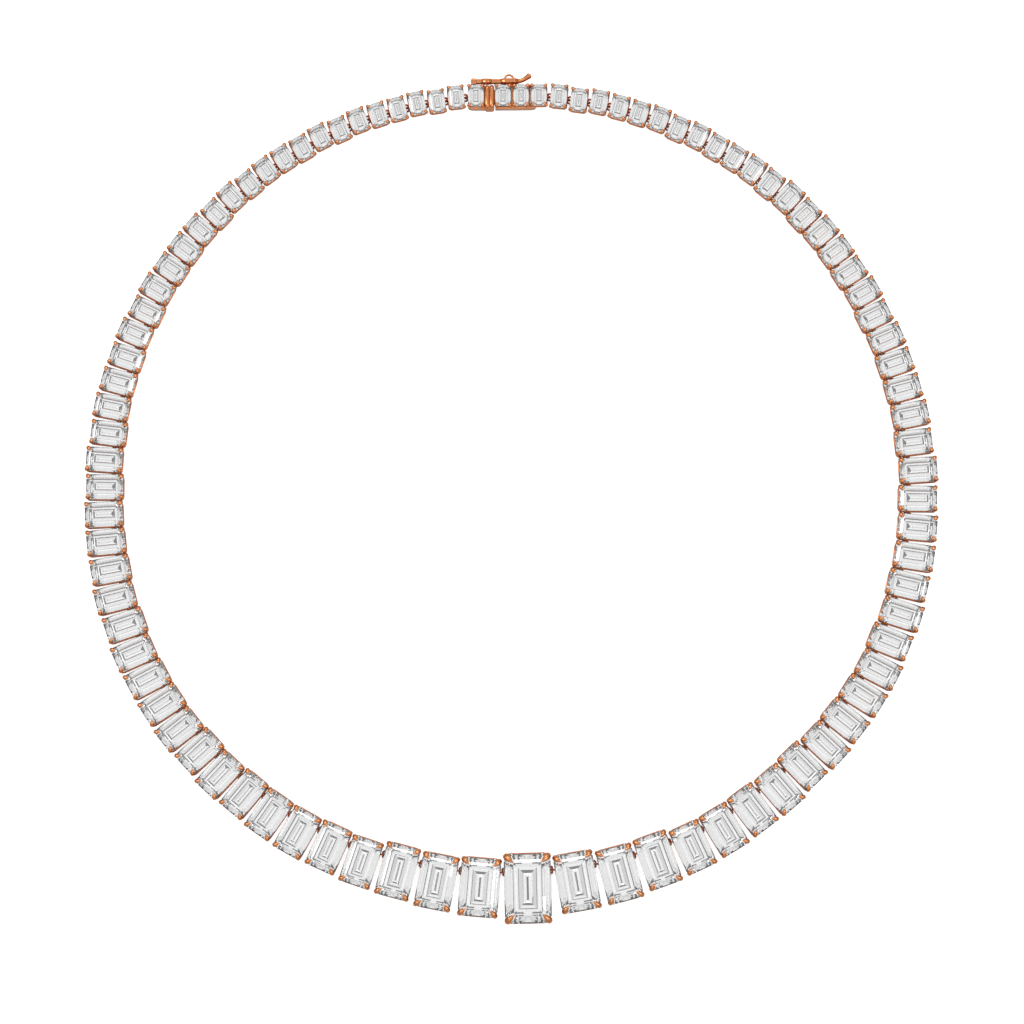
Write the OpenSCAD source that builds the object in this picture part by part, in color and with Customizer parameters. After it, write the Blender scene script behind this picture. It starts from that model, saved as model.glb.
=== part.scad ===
// Riviere necklace: one graded row of emerald-cut stones in four-prong settings, joined by small
// interlocking links and closed by a box clasp with a hinged safety latch. It lies face up.
// Sizes are in millimetres and angles in degrees.

/* [Stones] */
// Width of the centre stone, measured along the chain
centre_stone_w = 7.4; // [7:0.1:8]
// Length of the centre stone, measured across the chain
centre_stone_l = 11.0; // [10.2:0.1:12]
// Number of stones from the centre stone to the clasp box, on the right
stones_right = 43; // [38:1:46]
// Number of stones from the centre stone to the clasp tongue, on the left
stones_left = 45; // [40:1:46]
// Clear space between the smallest stones at their inner ends
stone_gap = 0.38; // [0.36:0.01:0.6]
// Height of the crown, as a share of the stone's width
crown_rise = 0.13; // [0.1:0.01:0.16]
// Depth of the pavilion, as a share of the stone's width
pavilion_drop = 0.46; // [0.4:0.01:0.5]
// Thickness of the girdle, as a share of the stone's width
girdle_band = 0.025; // [0.02:0.005:0.04]
// Distance from the girdle in to the table, as a share of the stone's width
table_inset = 0.19; // [0.16:0.01:0.24]
// Side of the triangle cut off each corner, as a share of the stone's width
corner_cut = 0.155; // [0.12:0.005:0.18]

/* [Settings] */
// Diameter of the centre stone's prongs
centre_prong_d = 1.0; // [0.8:0.05:1.1]
// Clear space between a stone and the metal that holds it
seat_gap = 0.04; // [0.03:0.01:0.08]
// Height of each stone's lowest point above the surface
culet_h = 0.9; // [0.9:0.05:1.4]
// Height of the base rail
base_rail_h = 0.7; // [0.6:0.05:0.8]
// Thickness of the base rail
base_rail_t = 0.42; // [0.35:0.01:0.5]
// Width of the base rail, as a share of the stone's width
base_rail_share = 0.73; // [0.66:0.01:0.76]
// Distance that the base rail stands in from each end of the stone
base_rail_inset = 0.08; // [0.06:0.01:0.3]
// Height of the gallery rail
gallery_h = 0.3; // [0.25:0.05:0.4]
// Thickness of the gallery rail
gallery_t = 0.2; // [0.16:0.01:0.22]
// Distance from the girdle down to the gallery rail, as a share of the stone's width
gallery_drop = 0.27; // [0.26:0.01:0.3]

/* [Links] */
// Diameter of a link's crossbar
link_bar_d = 0.34; // [0.28:0.02:0.38]
// Length of a link's crossbar
link_bar_l = 1.4; // [1.2:0.05:1.6]
// Wire diameter of a link's eye
link_eye_d = 0.28; // [0.24:0.02:0.32]
// Clear space between a crossbar and its eye
link_gap = 0.12; // [0.1:0.01:0.14]
// Height of a link's middle above the surface
link_z = 0.66; // [0.62:0.02:0.7]

/* [Clasp] */
// Width of a clasp stone
clasp_stone_w = 2.5; // [2.4:0.05:2.7]
// Length of a clasp stone
clasp_stone_l = 3.5; // [3.4:0.05:3.8]
// Space between two stones on the clasp box
clasp_stone_gap = 0.4; // [0.35:0.05:0.6]
// Number of stones on the clasp box
clasp_stones = 3; // [2:1:4]
// Width of the thumb bar
thumb_w = 1.5; // [1.4:0.05:1.8]
// Clear space at each side of the thumb bar
thumb_gap = 0.2; // [0.2:0.01:0.3]
// Height of the thumb bar's top above the surface
thumb_h = 2.4; // [2:0.1:2.6]
// Height of the clasp's walls
clasp_wall_h = 1.7; // [1.6:0.05:1.7]
// Thickness of the clasp's walls on the wearer's side
clasp_wall_t = 0.4; // [0.35:0.05:0.45]
// Distance that those walls stand out from the ends of the clasp's stones
clasp_wall_out = 0.35; // [0.3:0.05:0.4]
// Thickness of the clasp's walls on the latch's side
latch_wall_t = 0.25; // [0.22:0.01:0.26]
// Distance that those walls stand out from the ends of the clasp's stones
latch_wall_out = 0.05; // [0.04:0.01:0.1]
// Thickness of the tongue's blade
tongue_t = 0.4; // [0.3:0.02:0.42]
// Width of the tongue's blade
tongue_w = 2.4; // [2:0.1:2.8]
// Length of the tongue's blade inside the box
tongue_l = 3.8; // [3:0.1:5]

/* [Safety latch] */
// Length of the latch from its hinge to the middle of its loop
latch_reach = 5.75; // [5.6:0.05:5.9]
// Thickness of the latch
latch_t = 0.7; // [0.5:0.05:0.75]
// Height of the latch's loop
latch_h = 2.2; // [2.1:0.05:2.2]
// Length of the latch's loop
latch_loop_l = 3.2; // [3:0.1:3.4]
// Thickness of the loop's rim
latch_rim = 0.32; // [0.28:0.02:0.34]
// Height of the latch's middle above the surface
latch_z = 1.15; // [1.15:0.05:1.2]
// Diameter of the ball that the loop closes over
latch_ball_d = 1.3; // [1:0.05:1.3]
// Diameter of the hinge pin
hinge_pin_d = 0.4; // [0.3:0.05:0.45]
// Diameter of the hinge barrel
hinge_barrel_d = 0.9; // [0.85:0.05:1]
// Height of the hinge barrel
hinge_barrel_h = 1.1; // [0.9:0.05:1.2]
// Running clearance in the hinge
hinge_gap = 0.06; // [0.05:0.01:0.08]

/* [Lay] */
// Largest turn of a stone away from square to the chain
lay_turn = 0.4; // [0:0.1:0.4]
// Largest sideways shift of a stone from the chain's line
lay_shift = 0.15; // [0:0.01:0.2]
// Turn of the whole loop, which carries the centre stone to the right
loop_turn = 2.5; // [-5:0.5:5]
// Turn of the centre stone away from square to the chain
centre_turn = -1.6; // [-2:0.1:2]

/* [Hidden] */

$fn = 48;
prong_sides = 6;

// Colours
rose_gold = "#d8946a";
diamond = "#e6ebee";

// Route of the chain's middle line: angle round the loop from the centre stone, and radius
ROUTE = [
    [0, 63.7], [15, 63.6], [30, 64.1], [45, 64.3], [60, 65.3], [75, 65.5],
    [90, 65.4], [105, 65.2], [120, 65.0], [135, 65.1], [150, 64.8], [165, 64.6],
    [180, 64.1], [195, 64.5], [210, 64.9], [225, 65.2], [240, 65.3], [255, 65.3],
    [270, 65.1], [285, 65.4], [300, 65.4], [315, 64.8], [330, 64.3], [345, 63.6]
];

// How stones and prongs shrink from the centre to the clasp. Each row holds a stone's place from
// the centre, its width and length as shares of the centre stone's, its prong diameter as a share
// of the centre prongs', how far its link sits inward of the middle, as a share of its length, and
// the space to the next stone on the right and on the left, as shares of the smallest stones'
GRADE = [
    // place, width, length, prong, link, right gap, left gap
    [0, 1.000, 1.000, 1.00, 0.25, 1.20, 0.60],
    [1, 0.850, 0.845, 0.90, 0.25, 0.90, 0.90],
    [2, 0.785, 0.795, 0.86, 0.25, 0.90, 0.88],
    [3, 0.742, 0.770, 0.82, 0.25, 0.90, 0.87],
    [4, 0.683, 0.691, 0.78, 0.25, 0.90, 0.85],
    [6, 0.655, 0.675, 0.76, 0.25, 0.90, 0.80],
    [8, 0.600, 0.645, 0.74, 0.25, 0.90, 0.76],
    [10, 0.586, 0.623, 0.72, 0.25, 0.92, 0.72],
    [13, 0.565, 0.600, 0.71, 0.25, 0.95, 0.71],
    [16, 0.556, 0.577, 0.70, 0.25, 1.00, 0.70],
    [20, 0.530, 0.536, 0.69, 0.25, 0.96, 0.72],
    [24, 0.497, 0.498, 0.67, 0.22, 0.85, 0.86],
    [26, 0.477, 0.477, 0.66, 0.20, 0.84, 0.92],
    [30, 0.462, 0.450, 0.64, 0.18, 0.84, 0.95],
    [32, 0.427, 0.409, 0.63, 0.12, 0.90, 1.00],
    [34, 0.401, 0.373, 0.62, 0.08, 1.05, 1.08],
    [40, 0.375, 0.352, 0.60, 0.02, 1.25, 1.20],
    [46, 0.338, 0.335, 0.58, 0.00, 1.60, 1.50]
];

// Steps of the crown and the pavilion, from the girdle out: share of the inset, share of the height
CROWN_STEPS = [[0.34, 0.42], [0.68, 0.76], [1, 1]];
PAVILION_STEPS = [[0.26, 0.38], [0.60, 0.73], [1, 1]];

// A stone's sizes by its place from the centre
function grade(place, column) = lookup(place, [for (row = GRADE) [row[0], row[column]]]);
function stone_w(place) = centre_stone_w * grade(place, 1);
function stone_l(place) = centre_stone_l * grade(place, 2);
function prong_r(place) = centre_prong_d / 2 * grade(place, 3);
function link_inset(place) = stone_l(place) * grade(place, 4);
function gap_after(side, place) = stone_gap * grade(place, side > 0 ? 5 : 6);
function base_w(w) = w * base_rail_share;
function base_l(l) = l - 2 * base_rail_inset;
function girdle_z(w) = culet_h + pavilion_drop * w;

// Distance from a stone's middle out to its cut corners, and a prong's foot and top at one of them
function corner_half(w, l) = (w / 2 + l / 2 - corner_cut * w) / sqrt(2);
prong_out = 0.05;
prong_over = 0.8;
function prong_foot(w, l) =
    [base_w(w) / 2 - base_rail_t / 2, base_l(l) / 2 - base_rail_t / 2, base_rail_h / 2];
function prong_top(w, l, r) =
    let (
        edge = prong_out * r - corner_cut * w / 2,
        crown_z = (girdle_band + crown_rise * CROWN_STEPS[0][1]) * w
    )
    [w / 2 + edge, l / 2 + edge, girdle_z(w) + crown_z + prong_over * r];

// The route as a smooth closed curve, and its length
route_mean_r = 64.7;
walk_steps = 360;
function blend(a, b, c, d, t) =
    b + t * (c - a) / 2 + t * t * (2 * a - 5 * b + 4 * c - d) / 2 + t * t * t * (3 * b - a - 3 * c + d) / 2;
function route_r(a) =
    let (n = len(ROUTE), u = (a / 360 - floor(a / 360)) * n, i = floor(u))
    blend(ROUTE[(i + n - 1) % n][1], ROUTE[i % n][1], ROUTE[(i + 1) % n][1], ROUTE[(i + 2) % n][1], u - i);
function route_point(a) = route_r(a) * [sin(a), -cos(a)];
WALK = [
    for (i = 0, s = 0; i <= walk_steps; s = s + norm(route_point(i + 1) - route_point(i)), i = i + 1)
        [s, i]
];

// Distance from the centre stone to each further stone, along the chain, and from the last one on
// to the clasp's own end stone. Side is 1 on the right and -1 on the left
function last_place(side) = side > 0 ? stones_right : stones_left;
function at_clasp(side, i) = i > last_place(side);
function place_w(side, i) = at_clasp(side, i) ? clasp_stone_w : stone_w(i);
function place_l(side, i) = at_clasp(side, i) ? clasp_stone_l : stone_l(i);
function pitch(side, i) =
    let (step = (place_w(side, i) + place_w(side, i + 1)) / 2 + gap_after(side, i))
    step * (1 + (place_l(side, i) + place_l(side, i + 1)) / 4 / route_mean_r);
function steps_out(side) =
    [for (i = 0, s = 0; i <= last_place(side) + 1; s = s + pitch(side, i), i = i + 1) s];
REACH_RIGHT = steps_out(1);
REACH_LEFT = steps_out(-1);
function reach(side, i) = side > 0 ? REACH_RIGHT[i] : REACH_LEFT[i];

// The clasp along its own middle line: x runs to the right, y outward
clasp_pitch = clasp_stone_w + clasp_stone_gap;
box_row_l = (clasp_stones - 1) * clasp_pitch;
clasp_span = box_row_l + clasp_stone_w + thumb_w + 2 * thumb_gap;
tongue_x = -clasp_span / 2;
box_x = clasp_span / 2 - box_row_l;
box_end_x = clasp_span / 2;
thumb_x = (tongue_x + box_x) / 2;
clasp_in_y = -clasp_stone_l / 2 - clasp_wall_out;
clasp_out_y = clasp_stone_l / 2 + latch_wall_out;
room_in_y = clasp_in_y + clasp_wall_t;
room_out_y = clasp_out_y - latch_wall_t;
clasp_prong_r = prong_r(stones_left + 1);
clasp_prong_z = 1.0;
clasp_floor_t = 0.22;
clasp_rib_w = 0.3;
clasp_rib_z = 1.2;
box_from_x = box_x - clasp_stone_w / 2;
box_to_x = box_end_x - base_w(clasp_stone_w) / 2 + base_rail_t;
box_round_r = 0.5;
tongue_z = clasp_floor_t + 0.12;
thumb_over = 0.35;
thumb_inner_r = 0.9;
thumb_outer_r = 0.5;
thumb_groove = 0.14;

// The latch's hinge and the latch's own smaller sizes
hinge_x = tongue_x - 0.35;
hinge_out = 0.2;
hinge_y = clasp_out_y + hinge_out + hinge_barrel_d / 2;
hinge_lug_r = 0.42;
hinge_lug_h = 0.35;
hinge_plate_t = 0.14;
ball_y = hinge_y + 0.16;
ball_stem_d = 0.5;
latch_neck_h = hinge_barrel_h;
latch_ring_x = 2.1;
latch_ring_r = 1.0;
latch_tip_h = 0.95;
tip_reach = 9.1;
tip_out = 1;
tip_end_r = 0.4;
tip_from = latch_reach + latch_loop_l / 2;
tip_bend_r = (pow(tip_reach - tip_from, 2) + pow(tip_out, 2)) / (2 * tip_out);

// The chain's whole length sets the size of the loop
right_l = reach(1, stones_right + 1);
left_l = reach(-1, stones_left + 1);
chain_l = right_l + clasp_span + left_l;
route_k = chain_l / WALK[walk_steps][0];
start_s = lookup(loop_turn, [for (row = WALK) [row[1], row[0]]]) * route_k;
function angle_at(s) =
    let (u = s + start_s, v = u - floor(u / chain_l) * chain_l) lookup(v / route_k, WALK);
function point_at(s) = route_k * route_point(angle_at(s));

// A place on the chain: x, y and the turn that takes the local y axis outward
frame_step = 0.5;
function frame_at(s) =
    let (d = point_at(s + frame_step) - point_at(s - frame_step), p = point_at(s))
    [p.x, p.y, atan2(-d.y, -d.x)];
function turned(v, a) = [v.x * cos(a) - v.y * sin(a), v.x * sin(a) + v.y * cos(a)];
function to_world(f, v) = [f.x, f.y] + turned(v, f.z);
function laid(f, side, i) =
    let (p = to_world(f, [0, lay_shift * sin(211 * i + 25 * side)]))
    [p.x, p.y, f.z + lay_turn * sin(137 * i + 60 * side)];
clasp_frame = frame_at(right_l + clasp_span / 2);

// The frame of a place
function place_frame(side, i) =
    at_clasp(side, i)
        ? let (p = to_world(clasp_frame, [side > 0 ? box_end_x : tongue_x, 0])) [p.x, p.y, clasp_frame.z]
        : i == 0 ? frame_at(0) + [0, 0, centre_turn] : laid(frame_at(side * reach(side, i)), side, i);
function place_link(side, i) = at_clasp(side, i) ? 0 : link_inset(i);

// The link between place i and the next one towards the clasp: the middle of its crossbar, its
// direction, the distance back to the first base rail and the distance on to the second. The swing
// is what an eye that stands at an angle to the first rail takes of its clear space
eye_out_r = link_bar_d / sqrt(2) + link_gap + link_eye_d;
link_swing = 0.07;
function link_at(side, i) =
    let (
        a = to_world(place_frame(side, i), [-side * base_w(place_w(side, i)) / 2, -place_link(side, i)]),
        b = to_world(
            place_frame(side, i + 1),
            [side * base_w(place_w(side, i + 1)) / 2, -place_link(side, i + 1)]
        ),
        room = norm(b - a),
        back = max(eye_out_r + link_gap + link_swing, room / 2),
        c = a + (b - a) / room * back
    )
    [c.x, c.y, atan2(b.y - a.y, b.x - a.x), back, room - back];

// Middle of the plan, found from the outer corners of the settings and the latch's tip, which
// becomes the origin
function prong_reach(side, i) =
    let (w = place_w(side, i), edge = (1 - corner_cut) * w / 2, r = prong_r(i))
    [edge + r, place_l(side, i) / 2 - corner_cut * w / 2 + 1.1 * r];
EDGE = concat(
    [for (side = [-1, 1], i = [0:last_place(side)], turn = [-1, 1])
        to_world(place_frame(side, i), [turn * prong_reach(side, i).x, prong_reach(side, i).y])],
    [to_world(clasp_frame, [hinge_x + tip_reach, hinge_y + tip_out + tip_end_r])]
);
middle = [for (axis = [0, 1]) (max([for (p = EDGE) p[axis]]) + min([for (p = EDGE) p[axis]])) / 2];

// Moves its children from a place's own frame to the chain's
module placed(f) {
    translate([f.x - middle.x, f.y - middle.y, 0])
        rotate(f.z)
            children();
}

// A straight rod between two points, round or with a stated number of flat sides
module rod(p, q, r, sides = $fn) {
    d = q - p;
    translate(p)
        rotate([0, acos(d.z / norm(d)), atan2(d.y, d.x)])
            cylinder(h = norm(d), r = r, $fn = sides);
}

// Outline of a step cut seen along one pair of facets: half is the distance from the middle out
// to the girdle, w the stone's width, and past the length by which the last facets run on beyond
// the keel and the table, as a share of their own
function step_side(half, w, past) =
    let (
        crown = [for (s = CROWN_STEPS) [half - s[0] * table_inset * w, (girdle_band + s[1] * crown_rise) * w]],
        pavilion = [for (s = PAVILION_STEPS) [half - s[0] * w / 2, -s[1] * pavilion_drop * w]]
    )
    [
        pavilion[2] + past * (pavilion[2] - pavilion[1]), pavilion[1], pavilion[0], [half, 0],
        [half, girdle_band * w], crown[0], crown[1], crown[2] + past * (crown[2] - crown[1])
    ];

// A slab with step-cut edges, running along the local y axis
module step_slab(half, w, past, run) {
    side = step_side(half, w, past);
    keel = 0.001;
    back = [for (i = [len(side) - 1:-1:0]) if (side[i].x > keel) [-side[i].x, side[i].y]];
    rotate([90, 0, 0])
        linear_extrude(height = run, center = true)
            polygon(concat(side, back));
}

// Step-cut stone with cut corners, its girdle's lower edge at z = 0
module step_cut(w, l) {
    run = 3 * l;
    past = 0.3;
    intersection() {
        step_slab(w / 2, w, 0, run);
        rotate(90)
            step_slab(l / 2, w, past, run);
        rotate(45)
            step_slab(corner_half(w, l), w, past, run);
        rotate(-45)
            step_slab(corner_half(w, l), w, past, run);
    }
}

// A stone at its height above the surface
module seated_stone(w, l) {
    translate([0, 0, girdle_z(w)])
        step_cut(w, l);
}

// Slab with a sharp edge, which clears a step-cut slab of the same half-width
module seat_slab(half, w, run) {
    crown = [CROWN_STEPS[0][0] * table_inset, CROWN_STEPS[0][1] * crown_rise] * w;
    pavilion = [PAVILION_STEPS[0][0] / 2, PAVILION_STEPS[0][1] * pavilion_drop] * w;
    run_on = 2.5;
    edge = half + 2 * seat_gap;
    share = girdle_band * w / (crown.y + crown.x * pavilion.y / pavilion.x);
    outline = [
        [edge - run_on * pavilion.x, -run_on * pavilion.y],
        [edge + share * crown.x, girdle_band * w - share * crown.y],
        [edge - run_on * crown.x, girdle_band * w + run_on * crown.y]
    ];
    rotate([90, 0, 0])
        linear_extrude(height = run, center = true)
            polygon(concat(outline, [for (i = [2:-1:0]) [-outline[i].x, outline[i].y]]));
}

// Notches for a stone's corners in the prongs that hold it
module seat(w, l) {
    translate([0, 0, girdle_z(w)])
        intersection_for (turn = [45, -45])
            rotate(turn)
                seat_slab(corner_half(w, l), w, 3 * l);
}

// Rectangular rail, open in the middle
module rail(w, l, h, t) {
    linear_extrude(height = h)
        difference() {
            square([w, l], center = true);
            square([w - 2 * t, l - 2 * t], center = true);
        }
}

// Repeats its children at all four corners
module four_corners() {
    for (sx = [0, 1], sy = [0, 1])
        mirror([sx, 0, 0])
            mirror([0, sy, 0])
                children();
}

// Four prongs that lean out from the base rail and end above the crown's edge, cut to seat a stone
module prongs(w, l, r) {
    foot = prong_foot(w, l);
    top = prong_top(w, l, r);
    run_on = 0.3;
    difference() {
        four_corners()
            rod(foot - run_on * (top - foot), top, r, prong_sides);
        seat(w, l);
        translate([0, 0, -top.z / 2])
            cube([2 * w, 2 * l, top.z], center = true);
    }
}

// Gallery rail under the girdle, with its corners inside the prongs
module gallery(w, l, r) {
    foot = prong_foot(w, l);
    top = prong_top(w, l, r);
    z = girdle_z(w) - gallery_drop * w - gallery_h;
    corner = foot + (top - foot) * (z + gallery_h / 2 - foot.z) / (top.z - foot.z);
    translate([0, 0, z])
        rail(2 * corner.x + gallery_t, 2 * corner.y + gallery_t, gallery_h, gallery_t);
}

// Four-prong setting cut to seat its stone
module setting(w, l, r) {
    prongs(w, l, r);
    rail(base_w(w), base_l(l), base_rail_h, base_rail_t);
    gallery(w, l, r);
}

// Half of a link on the first stone: a staple of two legs with the crossbar between them
module link_staple(j) {
    foot = -j[3] - base_rail_t / 2;
    half = link_bar_l / 2;
    bar = link_bar_d / 2;
    placed(j)
        translate([0, 0, link_z - bar])
            linear_extrude(height = link_bar_d)
                polygon([
                    [foot, -half], [bar, -half], [bar, half], [foot, half], [foot, half - link_bar_d],
                    [-bar, half - link_bar_d], [-bar, link_bar_d - half], [foot, link_bar_d - half]
                ]);
}

// Other half of a link, on the second stone: a flat eye round the crossbar and its neck
module link_eye(j) {
    neck_l = j[4] + base_rail_t / 2;
    placed(j)
        translate([0, 0, link_z])
            rotate([90, 0, 0])
                linear_extrude(height = link_eye_d, center = true)
                    difference() {
                        union() {
                            circle(eye_out_r);
                            translate([0, -link_eye_d])
                                square([neck_l, link_eye_d]);
                        }
                        circle(eye_out_r - link_eye_d);
                    }
}

// A chain stone's setting with its eye towards the centre and its staple towards the clasp
module chain_setting(side, i) {
    placed(place_frame(side, i))
        setting(stone_w(i), stone_l(i), prong_r(i));
    link_eye(link_at(side, i - 1));
    link_staple(link_at(side, i));
}

module chain_stone(side, i) {
    placed(place_frame(side, i))
        seated_stone(stone_w(i), stone_l(i));
}

// Puts its children on the clasp's middle line
module on_clasp(x = 0) {
    placed(clasp_frame)
        translate([x, 0, 0])
            children();
}

// A box between two corners given in the clasp's frame
module block(from, to) {
    translate(from)
        cube(to - from);
}

// Four upright prongs for a stone over the clasp's walls
module clasp_prongs() {
    top = prong_top(clasp_stone_w, clasp_stone_l, clasp_prong_r);
    flat_turn = 180 / prong_sides;
    difference() {
        four_corners()
            translate([top.x, top.y, clasp_prong_z])
                rotate(flat_turn)
                    cylinder(h = top.z - clasp_prong_z, r = clasp_prong_r, $fn = prong_sides);
        seat(clasp_stone_w, clasp_stone_l);
    }
}

// Side view of the box, with its far lower corner rounded
module box_side() {
    h = clasp_wall_h;
    r = box_round_r;
    translate([box_from_x, 0])
        square([box_to_x - box_from_x - r, h]);
    translate([box_from_x, r])
        square([box_to_x - box_from_x, h - r]);
    translate([box_to_x - r, r])
        circle(r);
}

// Side view of the thumb bar, looking along the chain: y runs outward and z up
module thumb_side(inset) {
    from = [clasp_in_y - thumb_over, tongue_z];
    to = [clasp_out_y - thumb_gap / 4, thumb_h];
    inner_r = thumb_inner_r - inset;
    outer_r = thumb_outer_r - inset;
    low = from + [inset, 0];
    high = to - [inset, inset];
    translate([low.x + inner_r, low.y])
        square([high.x - low.x - inner_r - outer_r, high.y - low.y]);
    for (end = [[low.x, low.x + inner_r, inner_r], [high.x - outer_r, high.x - outer_r, outer_r]]) {
        translate([end[0], low.y])
            square([end[2], high.y - low.y - end[2]]);
        translate([end[1], high.y - end[2]])
            circle(end[2]);
    }
}

// A length of the thumb bar along the chain
module thumb_band(from_x, to_x, inset) {
    translate([from_x, 0, 0])
        rotate([90, 0, 90])
            linear_extrude(height = to_x - from_x)
                thumb_side(inset);
}

// Side view of the latch from outside, with its hinge at x = 0 and its middle at y = 0
module latch_side() {
    stadium = latch_loop_l - latch_h;
    difference() {
        union() {
            translate([0, -latch_neck_h / 2])
                square([latch_reach, latch_neck_h]);
            translate([latch_ring_x, 0])
                circle(latch_ring_r);
            translate([latch_reach, 0]) {
                square([stadium, latch_h], center = true);
                for (s = [-1, 1])
                    translate([s * stadium / 2, 0])
                        circle(latch_h / 2);
            }
            translate([tip_from - latch_rim, -latch_tip_h / 2])
                square([latch_rim, latch_tip_h]);
        }
        translate([latch_ring_x, 0])
            circle(latch_ring_r - latch_rim);
        translate([latch_reach, 0]) {
            square([stadium, latch_h - 2 * latch_rim], center = true);
            for (s = [-1, 1])
                translate([s * stadium / 2, 0])
                    circle(latch_h / 2 - latch_rim);
        }
    }
}

// The latch's tip in plan, curving outward to a round end
module latch_tip() {
    turn = asin((tip_reach - tip_from) / tip_bend_r);
    intersection() {
        translate([tip_from, tip_bend_r])
            difference() {
                circle(tip_bend_r + latch_t / 2);
                circle(tip_bend_r - latch_t / 2);
            }
        polygon([
            [tip_from, tip_bend_r], [tip_from, -latch_t],
            [tip_from + (tip_bend_r + latch_t) * tan(turn), -latch_t]
        ]);
    }
    translate([tip_reach, tip_out])
        circle(tip_end_r);
}

module centre_stone() {
    color(diamond)
        chain_stone(1, 0);
}

module stones_right() {
    color(diamond)
        for (i = [1:stones_right])
            chain_stone(1, i);
}

module stones_left() {
    color(diamond)
        for (i = [1:stones_left])
            chain_stone(-1, i);
}

module clasp_stones() {
    color(diamond)
        for (x = concat([tongue_x], [for (i = [0:clasp_stones - 1]) box_x + i * clasp_pitch]))
            on_clasp(x)
                seated_stone(clasp_stone_w, clasp_stone_l);
}

module centre_setting() {
    color(rose_gold) {
        placed(place_frame(1, 0))
            setting(stone_w(0), stone_l(0), prong_r(0));
        for (side = [-1, 1])
            link_staple(link_at(side, 0));
    }
}

module settings_right() {
    color(rose_gold)
        for (i = [1:stones_right])
            chain_setting(1, i);
}

module settings_left() {
    color(rose_gold)
        for (i = [1:stones_left])
            chain_setting(-1, i);
}

// Box with its stones' prongs, the ball for the latch and the eye of the first link
module clasp_box() {
    rail_x = box_end_x - base_w(clasp_stone_w) / 2;
    clear = clasp_wall_h;
    color(rose_gold) {
        on_clasp() {
            difference() {
                translate([0, clasp_out_y, 0])
                    rotate([90, 0, 0])
                        linear_extrude(height = clasp_out_y - clasp_in_y)
                            box_side();
                block([box_from_x - clear, room_in_y, clasp_floor_t], [rail_x, room_out_y, 2 * clear]);
                block([rail_x - clear, room_in_y, base_rail_h], [box_to_x + clear, room_out_y, 2 * clear]);
            }
            translate([hinge_x + latch_reach, room_out_y + latch_wall_t / 2, latch_z])
                rotate([-90, 0, 0])
                    cylinder(h = ball_y - room_out_y - latch_wall_t / 2, d = ball_stem_d);
            translate([hinge_x + latch_reach, ball_y, latch_z])
                sphere(d = latch_ball_d);
        }
        for (i = [0:clasp_stones - 2]) {
            on_clasp(box_x + i * clasp_pitch)
                clasp_prongs();
            on_clasp(box_x + (i + 0.5) * clasp_pitch)
                block(
                    [-clasp_rib_w / 2, room_in_y - clasp_wall_t / 2, clasp_rib_z],
                    [clasp_rib_w / 2, room_out_y + latch_wall_t / 2, clasp_wall_h]
                );
        }
        on_clasp(box_end_x)
            setting(clasp_stone_w, clasp_stone_l, clasp_prong_r);
        link_eye(link_at(1, stones_right));
    }
}

// Tongue with its stone's frame, the thumb bar, the blade and the latch's hinge pin
module clasp_tongue() {
    from_x = tongue_x - clasp_stone_w / 2;
    rail_x = tongue_x - base_w(clasp_stone_w) / 2;
    bar_from_x = thumb_x - thumb_w / 2;
    bar_to_x = thumb_x + thumb_w / 2;
    color(rose_gold) {
        on_clasp() {
            block([from_x, clasp_in_y, 0], [bar_from_x, room_in_y, clasp_wall_h]);
            block([from_x, room_out_y, 0], [bar_from_x, clasp_out_y, clasp_wall_h]);
            block([rail_x, room_in_y, 0], [rail_x + base_rail_t, room_out_y, base_rail_h]);
            block([bar_from_x - clasp_wall_t, room_in_y, 0], [bar_from_x, room_out_y, clasp_wall_h]);
            block(
                [bar_from_x - clasp_wall_t / 2, -tongue_w / 2, tongue_z],
                [box_from_x + tongue_l, tongue_w / 2, tongue_z + tongue_t]
            );
            thumb_band(bar_from_x, bar_to_x, thumb_groove);
            thumb_band(bar_from_x, thumb_x - thumb_groove / 2, 0);
            thumb_band(thumb_x + thumb_groove / 2, bar_to_x, 0);
            translate([hinge_x, hinge_y, 0])
                hinge_mount();
        }
        on_clasp(tongue_x)
            clasp_prongs();
        link_eye(link_at(-1, stones_left));
    }
}

// Plate on the tongue's outer wall with two lugs and the pin between them. Above the wall it stands
// clear of the stone
module hinge_mount() {
    wall_y = clasp_out_y - hinge_y;
    front_y = wall_y + hinge_plate_t;
    low_z = latch_z - hinge_barrel_h / 2 - hinge_gap;
    high_z = latch_z + hinge_barrel_h / 2 + hinge_gap;
    foot_z = low_z - hinge_lug_h;
    block([-hinge_lug_r, wall_y - latch_wall_t / 2, foot_z], [hinge_lug_r, front_y, clasp_wall_h]);
    block([-hinge_lug_r, wall_y, foot_z], [hinge_lug_r, front_y, high_z + hinge_lug_h]);
    for (z = [foot_z, high_z])
        translate([0, 0, z])
            linear_extrude(height = hinge_lug_h) {
                circle(hinge_lug_r);
                translate([-hinge_lug_r, wall_y])
                    square([2 * hinge_lug_r, -wall_y]);
            }
    translate([0, 0, foot_z + hinge_lug_h / 2])
        cylinder(h = high_z - low_z + hinge_lug_h, d = hinge_pin_d);
}

module safety_latch() {
    color(rose_gold)
        placed(clasp_frame)
            translate([hinge_x, hinge_y, latch_z])
                difference() {
                    union() {
                        rotate([90, 0, 0])
                            linear_extrude(height = latch_t, center = true)
                                latch_side();
                        cylinder(h = hinge_barrel_h, d = hinge_barrel_d, center = true);
                        linear_extrude(height = latch_tip_h, center = true)
                            latch_tip();
                    }
                    cylinder(h = 2 * hinge_barrel_h, d = hinge_pin_d + 2 * hinge_gap, center = true);
                }
}

centre_stone();
stones_right();
stones_left();
clasp_stones();
centre_setting();
settings_right();
settings_left();
clasp_box();
clasp_tongue();
safety_latch();
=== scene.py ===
import math

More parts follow.
